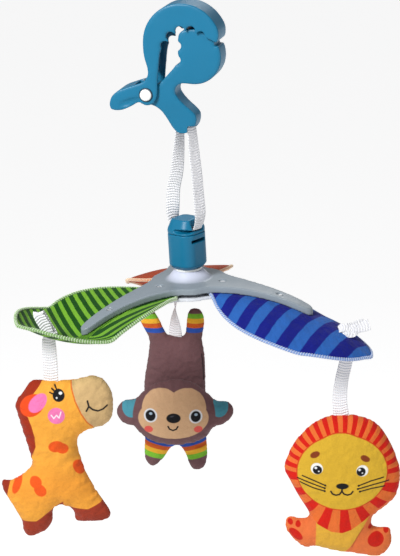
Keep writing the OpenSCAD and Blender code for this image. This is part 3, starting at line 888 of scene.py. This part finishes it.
def make_ribbon(toy, colour, hang, knot, standing=False):
    """A tape from its knot on a petal, through the slit, down into its toy's top seam.

    hang is (x, share of the way down, turn of the width, share of the width) at each station."""
    slit = pivot_of(toy + "_swing")
    seam = pivot_of(toy + "_twist")
    drop = slit.z - seam.z + 3
    stations = [(slit.x + x, slit.y, slit.z - drop * down, turn, share) for x, down, turn, share in hang]
    *parts, length = tape(stations, TAPE_W)
    ribbon = cut_tape(toy + "_ribbon_tape", [parts])
    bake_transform(ribbon)
    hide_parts("ribbon_" + toy)
    parts = []
    for tail in knot:
        stations = [(slit.x + x, slit.y + y, slit.z + z, turn, share) for x, y, z, turn, share in tail]
        parts.append(tape(stations, TAPE_W * 0.92, standing=standing)[:3])
    knotted = cut_tape(colour + "_petal_knot", parts)
    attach(knotted, "frame")
    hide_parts("knot_" + colour)


UPRIGHT_KNOT = [
    [(1, 0, -2, 10, 0.55), (0.5, -0.5, 2, 12, 0.7), (-1.6, -1, 7, 12, 0.85), (-4.4, -1, 12, 10, 0.86),
     (-6.6, -0.6, 16.5, 8, 0.84), (-6.4, 0.6, 17.6, 8, 0.84), (-4, 1.4, 13, 10, 0.86),
     (-1, 1.8, 7, 10, 0.85), (2.4, 1.6, 2.2, 10, 0.8), (3.6, 0.4, 0.4, 10, 0.6)],
    [(5, -1.6, 0.2, 60, 0.4), (2.4, -2.8, 1.6, 30, 0.5), (-1.6, -2.6, 2.4, 10, 0.55),
     (-4.2, -0.8, 1.2, 0, 0.45)],
    [(5.6, -1, 3.4, 40, 0.3), (4.6, -1.8, 1.4, 40, 0.42), (2.6, -2, -0.4, 30, 0.5)],
]
SIDE_KNOT = [
    [(-2, 0, 1.2, 10, 0.5), (2, -1.2, 3.4, 14, 0.66), (7, -1.8, 5.2, 4, 0.78), (12, -1.4, 6.6, 12, 0.84),
     (17, -1.2, 8.2, 6, 0.9)],
    [(-4.4, 0.6, 0.6, 30, 0.5), (-4.6, -0.6, 4.4, 24, 0.62), (-0.6, -1.6, 6.2, 20, 0.6),
     (4, -0.4, 6.0, 30, 0.66), (9, 0.8, 7.4, 20, 0.7), (13.6, 1.2, 8.8, 10, 0.72)],
    [(-3.6, -1.6, -0.4, 20, 0.5), (0.6, -2.8, 1.6, 12, 0.6), (4.8, -2.4, 1.4, 30, 0.55),
     (7.6, -1.2, 3, 20, 0.5)],
]
FLAT_KNOT = [
    [(-6, 0, 1.8, 60, 0.5), (-2, -1.4, 2.6, 70, 0.7), (2, 0.4, 2.8, 80, 0.7), (6.4, 1, 2, 60, 0.6)],
    [(3.4, -2.6, 1.8, 40, 0.45), (0, 0, 3.6, 60, 0.5), (-3.4, 2.4, 1.8, 40, 0.45)],
]


def make_ribbons():
    make_ribbon("giraffe", "green", [
        (0, -0.03, 25, 0.6), (0, 0.06, 16, 0.9), (0.3, 0.3, 8, 1), (0.9, 0.65, 4, 1), (1.0, 1, 0, 1),
    ], UPRIGHT_KNOT)
    make_ribbon("lion", "blue", [
        (0.4, -0.02, 35, 0.6), (1.8, 0.12, 22, 0.95), (1.2, 0.28, 15, 1), (-2.2, 0.55, 10, 1),
        (-3.2, 0.78, 0, 1.05), (-1.6, 1, 0, 1.12),
    ], SIDE_KNOT, standing=True)
    make_ribbon("monkey", "orange", [
        (0, 0.01, 35, 0.6), (0.4, 0.1, 42, 0.74), (-0.3, 0.35, 62, 0.88), (-1.0, 0.52, 90, 0.85),
        (-1.3, 0.7, 128, 1), (-1.0, 1, 176, 1.05),
    ], FLAT_KNOT)


# ---------- stuffed toys ----------

def seam_outline(node):
    """A toy's outline at its seam, as (x, z) points, with the seam's y and the toy's thickness."""
    low, high = (Vector(corner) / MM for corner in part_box(node))
    middle = (low.y + high.y) / 2
    thick = high.y - low.y
    band = thick * SEAM_SHARE / 2
    near = 0.05
    shape = merged_copy(node)
    after = {}
    for face in shape.faces:
        ends = [abs(v.co.y / MM - middle) for v in face.verts]
        if max(ends) > band + near or min(ends) < band - near or abs(face.normal.y) > 0.5:
            continue
        for edge in face.edges:
            if all(abs(v.co.y / MM - middle + band) < near for v in edge.verts):
                a, b = edge.verts
                after.setdefault(a, []).append(b)
                after.setdefault(b, []).append(a)
    start = next(iter(after))
    loop = [start]
    previous = None
    while True:
        options = [v for v in after[loop[-1]] if v is not previous]
        if not options or options[0] is start and len(loop) > 2:
            break
        previous = loop[-1]
        loop.append(options[0])
        if len(loop) > len(after):
            break
    outline = np.array([(v.co.x / MM, v.co.z / MM) for v in loop])
    shape.free()
    return outline, middle, thick


def evenly(outline, pitch):
    """A closed outline at even steps, anticlockwise."""
    x, z = outline.T
    if np.sum(x * np.roll(z, -1) - np.roll(x, -1) * z) < 0:
        outline = outline[::-1]
    return sampled(np.vstack([outline, outline[:1]]), pitch)[0][:-1]


def inside(points, outline):
    """Which points lie in a closed outline."""
    found = np.zeros(len(points), bool)
    for a, b in zip(outline, np.roll(outline, -1, axis=0)):
        crosses = (a[1] > points[:, 1]) != (b[1] > points[:, 1])
        with np.errstate(divide="ignore", invalid="ignore"):
            level = (b[0] - a[0]) * (points[:, 1] - a[1]) / (b[1] - a[1]) + a[0]
        found ^= crosses & (points[:, 0] < level)
    return found


def gaps_between(points, outline):
    """How far each point is from each point of an outline."""
    return np.sqrt(((points[:, None, :] - outline[None, :, :]) ** 2).sum(axis=2))


def filled_height(count, rim_count, faces):
    """How far the filling lifts each point of the cloth, 0 at the seam and 1 where it is fullest."""
    pairs = np.array([(f[i], f[(i + 1) % 3]) for f in faces for i in range(3)])
    a = np.concatenate([pairs[:, 0], pairs[:, 1]])
    b = np.concatenate([pairs[:, 1], pairs[:, 0]])
    ways = np.bincount(a, minlength=count)
    height = np.zeros(count)
    for _ in range(FILLING_PASSES):
        height = np.bincount(a, height[b], count) / ways + 1
        height[:rim_count] = 0
    return (height / height.max()) ** FULLNESS


def pillow(node):
    """Two layers of cloth sewn round an outline and filled."""
    outline, middle, thick = seam_outline(node)
    rim = evenly(outline, RIM_PITCH)
    low, high = rim.min(axis=0), rim.max(axis=0)
    rows = np.arange(low[1], high[1], CLOTH_PITCH * math.sqrt(3) / 2)
    grid = np.array([(x + (i % 2) * CLOTH_PITCH / 2, z) for i, z in enumerate(rows)
                     for x in np.arange(low[0], high[0], CLOTH_PITCH)])
    grid = grid[inside(grid, rim)]
    grid = grid[gaps_between(grid, rim).min(axis=1) > CLOTH_PITCH * 0.55]
    places = [Vector(p) for p in np.vstack([rim, grid])]
    edges = [(i, (i + 1) % len(rim)) for i in range(len(rim))]
    verts, _, faces, *_ = delaunay_2d_cdt(places, edges, [], 1, 1e-6)
    flat = np.array([tuple(v) for v in verts])
    count = len(flat)
    rim_count = len(rim)
    height = filled_height(count, rim_count, faces) * thick / 2
    gaps = gaps_between(flat, rim)
    run = gaps.argmin(axis=1) * RIM_PITCH
    folds = sum(strength * np.sin(run * TURN / pitch + shift) for strength, pitch, shift in FOLDS)
    height *= 1 + PUCKER * folds * np.exp(-gaps.min(axis=1) / FOLD_REACH)
    front = [(x, middle - h, z) for (x, z), h in zip(flat, height)]
    back = [(x, middle + h, z) for (x, z), h in zip(flat[rim_count:], height[rim_count:])]
    shifted = count - rim_count
    behind = [tuple(i if i < rim_count else i + shifted for i in reversed(face)) for face in faces]
    flat = np.vstack([flat, flat[rim_count:]])
    return front + back, [tuple(f) for f in faces] + behind, flat, rim_count, len(faces)


def let_the_filling_push(piece, rim_count, most):
    """Runs the cloth under the filling's pressure with its seam held, and caps each point's move."""
    seam = piece.vertex_groups.new(name="seam")
    seam.add(list(range(rim_count)), 1.0, "REPLACE")
    modifier = piece.modifiers.new("Filling", "CLOTH")
    settings = modifier.settings
    settings.quality = 5
    settings.mass = 0.15
    settings.tension_stiffness = 12
    settings.compression_stiffness = 12
    settings.bending_stiffness = 0.4
    settings.use_pressure = True
    settings.uniform_pressure_force = 4
    settings.vertex_group_mass = "seam"
    settings.effector_weights.gravity = 0
    modifier.point_cache.frame_start = 1
    modifier.point_cache.frame_end = 20
    rest = np.array([v.co for v in piece.data.vertices])
    for step in range(1, 19):
        bpy.context.scene.frame_set(step)
    moved = evaluated(piece)
    puffed = np.array([v.co for v in moved.vertices])
    bpy.data.meshes.remove(moved)
    piece.modifiers.clear()
    piece.vertex_groups.clear()
    bpy.context.scene.frame_set(1)
    move = puffed - rest
    far = np.linalg.norm(move, axis=1)
    if not np.isfinite(far).all():
        return
    move *= np.minimum(1, most * MM / np.maximum(far, 1e-9))[:, None]
    for vertex, place in zip(piece.data.vertices, rest + move):
        vertex.co = place


def make_toy(node, material):
    """A stuffed toy whose print follows its cloth and is placed from its top seam."""
    animal = node.split("_")[0]
    origin = pivot_of(animal + "_twist")
    points, faces, flat, rim_count, front_count = pillow(node)
    flat = flat - np.array([origin.x, origin.z])
    backs = [i >= front_count for i in range(len(faces))]
    toy = add_piece("stuffed_" + node, points, faces, material, flat, backs)
    let_the_filling_push(toy, rim_count, MOST_PUSH)
    rounding = toy.modifiers.new("Rounding", "SUBSURF")
    rounding.levels = rounding.render_levels = 1
    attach(toy, animal)
    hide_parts(node)


# ---------- what is printed on the toys ----------

BLACK = ink(22, 22, 26)
GLINT = ink(236, 238, 240)


def giraffe_print():
    """Walking to the right, one eye shown, with a mane, patches and dark hooves."""
    p = Print("giraffe cloth", ink(243, 168, 62))
    p.dye((p.z + 95).rise(-15, 22) * (0 - p.z - 62).rise(-10, 20) * 0.35, ink(238, 136, 40))
    mane = p.left_of([(-58, -14), (-49, -10.5), (-41, -11), (-33, -13), (-26, -15.5), (-22, -20),
                      (-18.5, -20.5), (-10, -12.5), (-5, -8.5), (3.5, -2.5)])
    p.dye(mane * (p.z + 60).rise(-2, 0.5), ink(156, 44, 18))
    p.dot(ink(232, 76, 26), -12.5, -17, 10, 7.2, 40)
    p.dot(ink(240, 120, 178), -8.2, -14.8, 8.4, 5, 48)
    p.lay((1 - p.left_of([(-34, 31), (-29.5, 27), (-22.5, 23.2), (-13, 18.8), (-3.5, 16), (4, 15)]))
          * p.z.rise(-42, -41), ink(208, 174, 122))
    p.lay(p.line([(15, 4), (16, -3.5), (18.8, -13), (23, -22.5), (27, -29.5), (31, -34)], 1.0),
          ink(216, 110, 40))
    p.lay(p.line([(29, -17.5), (31.5, -19.7), (35, -21), (38.5, -20), (41.5, -17.6)], 1.3), BLACK)
    p.lay(p.line([(27.6, -13), (28.6, -17), (26.8, -20.5)], 1.3), BLACK)
    p.dot(BLACK, 7, -9, 4.3, 4.3)
    p.dot(GLINT, 8.3, -7.4, 1.2, 1.0)
    p.dot(GLINT, 5.6, -10.6, 0.6, 0.6)
    for lash in ([(4.2, -6.4), (1.9, -4.4)], [(3.2, -8), (0.6, -6.8)], [(5.4, -5.2), (4, -2.8)]):
        p.lay(p.line(lash, 1.05), BLACK)
    p.dot(ink(238, 122, 178), 5.2, -23.5, 6.1, 6)
    p.lay(p.line([(1.6, -23), (3.4, -25.4), (5.4, -23), (7.2, -25), (8.6, -20.6)], 0.8), ink(250, 236, 244))
    patch = ink(235, 88, 26)
    for spot in ((4.5, -47.5, 5.6, 4.4, 10), (8.6, -49, 5, 4, -30), (20.6, -65.6, 3.6, 6.2, 32),
                 (-11, -76, 4.4, 4.6, 0), (-7.8, -82, 4.2, 5.2, 35), (-25, -79.5, 2.8, 7.2, -22)):
        p.dye(p.oval(*spot), patch)
    hoof = ink(160, 58, 36)
    p.dye((1 - p.over([(12, -97), (16, -97.5), (26.5, -98.5), (38, -93), (46, -88)]))
          * (p.x - 10).rise(0, 1), hoof)
    p.dye((1 - p.over([(-30, -108), (-21.5, -108.5), (-11.5, -108), (1, -98.5), (8, -92)]))
          * (1 - (p.x - 8).rise(0, 1)), hoof)
    p.dye(p.left_of([(-92, -33), (-87.5, -32.5), (-74, -29.5), (-70, -28)]) * (p.z + 93).rise(0, 2)
          * (1 - (p.z + 72).rise(0, 2)), ink(150, 48, 26))
    return p.cloth(mottle=0.3)


def lion_print():
    """A round yellow face in a striped mane, with a striped bib, a belly and two paws."""
    p = Print("lion cloth", ink(232, 118, 62))
    stripe_red = ink(212, 26, 12)
    stripe_orange = ink(230, 112, 48)
    x, z = p.x + 1.5, p.z + 43
    angle = p.finish.node("Math", {"operation": "ARCTAN2"}, {0: z, 1: x})
    low = 1 - z.beyond(0)
    wave = (angle * (34 - 18 * low) + 0.5 * p.finish.noise(p.place, 0.08, 1)).sine()
    mane = p.over([(-46, -60), (-26, -75), (-18.5, -84), (-8, -89.6), (0, -90.5), (6.5, -88), (19.5, -78.5),
                   (30, -70), (46, -58)])
    p.dye(mane, stripe_orange)
    p.dye(mane * wave.rise(-0.12, 0.12), stripe_red)
    p.dye(p.oval(-1, -41.5, 31, 27), stripe_orange)
    belly = p.left_of([(-108, 3), (-103, 6.5), (-88, 15), (-80, 19)]) * (p.x + 19.5).rise(-0.6, 0.6)
    p.lay(belly * (1 - mane) * (1 - (p.z + 77).rise(0, 1)), ink(226, 172, 58))
    ring = p.oval(-1, -41.5, 33.9, 29.6).most(p.oval(-2, -37.5, 25.5, 27))
    p.lay(ring, ink(206, 62, 22))
    p.lay(p.oval(-1, -41.5, 33.1, 28.8).most(p.oval(-2, -37.5, 24.7, 26.2)), ink(217, 174, 50))
    for x0, z0, tilt in ((-21.5, -27.5, 28), (15.5, -30, -28)):
        p.dot(ink(132, 58, 24), x0, z0, 3.8, 2.3, tilt)
    for x0, z0, px, pz in ((-20, -38, -19.6, -39), (13.5, -39.3, 12.6, -40)):
        p.dot(ink(244, 244, 240), x0, z0, 4.4, 4.4)
        p.dot(BLACK, px, pz, 3.4, 3.4)
        p.dot(GLINT, px - 1.2, pz + 1.5, 1.0, 0.9)
        p.dot(GLINT, px + 1.0, pz - 1.0, 0.5, 0.5)
    p.dot(BLACK, -1, -51.3, 4.7, 2.4)
    p.lay(p.line([(-9.4, -55.6), (-8.2, -57.6), (-5.6, -58.6), (-3, -57.8), (-1.3, -55.4), (0.4, -57.6),
                  (2.8, -58.4), (5.4, -57.6), (6.8, -55.6)], 1.3), BLACK)
    p.lay(p.line([(-1.2, -52.5), (-1.3, -55.6)], 1.3), BLACK)
    for whisker in ([(-30.5, -44.5), (-22, -47.6), (-13.6, -51)], [(-34, -46.8), (-24, -50), (-14, -53.2)],
                    [(-32, -50), (-23, -53.4), (-14, -55.6)], [(29.5, -45.5), (20, -47.6), (11, -51)],
                    [(33.5, -48.5), (22, -50.6), (10.5, -53.6)], [(30.5, -52.6), (21, -53.6), (12, -55.8)]):
        p.lay(p.line(whisker, 1.05), BLACK)
        p.dot(BLACK, *whisker[-1], 0.85, 0.85)
    paw = ink(204, 30, 14)
    for spot in ((-38.6, -85, 2, 2.3, 20), (-32.8, -86.4, 2, 2.3, -10), (-34.4, -94.4, 6.2, 3.4, -42),
                 (25.5, -98, 6.2, 6, 0), (21.6, -87.6, 2.2, 1.9, 30), (28, -86.8, 2.4, 2, 0),
                 (33.4, -91.6, 2.0, 2.3, 20)):
        p.dot(paw, *spot)
    # A faint dark stroke down the right leg: painted shade of a crease in the cloth.
    p.lay(p.line([(15.5, -87.5), (11.5, -94), (7.5, -103)], 1.0) * 0.55, ink(150, 58, 26))
    return p.cloth(mottle=0.18)


LIMB_BANDS = (ink(122, 190, 52), ink(236, 178, 50), ink(206, 92, 32), ink(42, 82, 172))
MONKEY_BROWN = ink(112, 80, 83)


def monkey_body_print():
    """Brown, with striped bands round each limb."""
    p = Print("monkey body cloth", MONKEY_BROWN)
    limb = (p.x.size() - 5).rise(-1, 1)
    slope = (p.x.size() - 25) * 0.27
    for top, colour in zip((19, 15, 11, 7.2), LIMB_BANDS):
        p.dye(p.edge(top - p.z) * p.edge(p.z - top + 4) * limb, colour)
    for top, colour in zip((-86.4, -91, -95.3, -99.6), LIMB_BANDS[::-1]):
        level = p.z - slope
        p.dye(p.edge(top - level) * p.edge(level - top + 4.9), colour)
    p.lay(p.line([(20.5, -15), (21.6, -26), (22, -37)], 0.9), ink(44, 28, 32))
    return p.cloth(mottle=0.2)


def monkey_head_print():
    """A heart-topped tan face with two eyes, a nose and a smile."""
    p = Print("monkey head cloth", MONKEY_BROWN)
    tan = ink(212, 172, 132)
    face = p.oval(-11.5, -50.5, 16.5, 16.5).most(p.oval(7.5, -50.5, 16.5, 16.5))
    face = face.most(p.oval(-2.5, -58.5, 28.5, 17.8)).most(p.oval(-2.5, -63, 26, 13.6))
    p.lay(face, tan)
    for x0, tilt in ((-37.6, 4), (35.4, -4)):
        p.lay(p.oval(x0, -51, 6.6, 8, tilt) * (1 - p.oval(-2, -57, 33.5, 30)), ink(74, 148, 166))
    for x0, z0 in ((-21, -55.8), (15.6, -56.6)):
        p.dot(ink(226, 228, 232), x0, z0, 5.4, 5.9)
        p.dot(BLACK, x0, z0, 4.1, 4.7)
        p.dot(ink(168, 192, 210), x0 + 0.2, z0 + 1.7, 1.3, 1.1)
    p.dot(BLACK, -2.4, -57.6, 5.8, 4.2)
    p.dot(ink(70, 70, 78), -3.6, -56, 1.6, 0.6, 15)
    p.lay(p.line([(-6.8, -64.8), (-5.6, -67.2), (-2.9, -68.4), (-0.2, -67.3), (1.1, -64.9)], 1.35), BLACK)
    for x0 in (-22.6, 17.6):
        p.dot(ink(224, 92, 84), x0, -68, 3.5, 3.1)
    return p.cloth(mottle=0.14)


def make_toys():
    for node, printed in (("giraffe", giraffe_print), ("lion", lion_print),
                          ("monkey_body", monkey_body_print), ("monkey_head", monkey_head_print)):
        make_toy(node, printed())


# ---------- stage ----------

def make_stage():
    """A pale floor below the toys, soft studio lights and the camera."""
    scene = bpy.context.scene
    scene.view_settings.view_transform = "Standard"
    floor_z = cad_box[0][2] / MM - FLOOR_DROP
    finish = Finish("studio floor")
    grain = finish.noise(finish.place(), 3)
    material = finish.finished(finish.tinted(ink(250, 250, 251), grain, 0.01), 0.9 - 0.02 * grain, grain,
                               0.02, 0.001, Emission_Color=ink(255, 255, 255), Emission_Strength=1.0)
    corners = [(x * FLOOR_HALF, y * FLOOR_HALF, floor_z) for x, y in ((-1, -1), (1, -1), (1, 1), (-1, 1))]
    floor = placed("floor", mesh_of("floor", corners, [], [(0, 1, 2, 3)]))
    floor.data.materials.append(material)

    world = bpy.data.worlds.new("studio")
    scene.world = world
    world.use_nodes = True
    background = world.node_tree.nodes["Background"]
    background.inputs["Color"].default_value = (1, 1, 1, 1)
    background.inputs["Strength"].default_value = 0.25
    middle = Vector(((cad_box[0][0] + cad_box[1][0]) / 2, 0, -0.17))
    for name, place, power, size in (("key", (-0.75, -0.9, 0.8), 31, 0.45),
                                     ("fill", (1.1, -1.2, 0.1), 5, 0.9),
                                     ("back", (0.3, 1.2, 0.9), 7, 0.8)):
        light = bpy.data.lights.new(name, "AREA")
        light.energy = power
        light.size = size
        holder = placed(name, light)
        holder.location = place
        holder.rotation_euler = (middle - Vector(place)).to_track_quat("-Z", "Y").to_euler()

    camera = placed("camera", bpy.data.cameras.new("camera"))
    camera.location = (0.01594, -1.43446, 0.26430)
    camera.rotation_euler = (math.radians(73), 0, 0)
    camera.data.lens = 129.5
    camera.data.sensor_width = 36
    scene.camera = camera


make_clamp()
make_strap()
make_hub()
make_frame()
overlock = repeat_tree("Overlock", along_path=True)
loop = thread_loop(1.2, 0.28)
for petal_colour, petal_length in (("green", 0.128), ("blue", 0.12), ("orange", 0.128)):
    make_petal(petal_colour, loop, overlock)
bpy.data.objects.remove(loop)
make_ribbons()
make_toys()
make_stage()
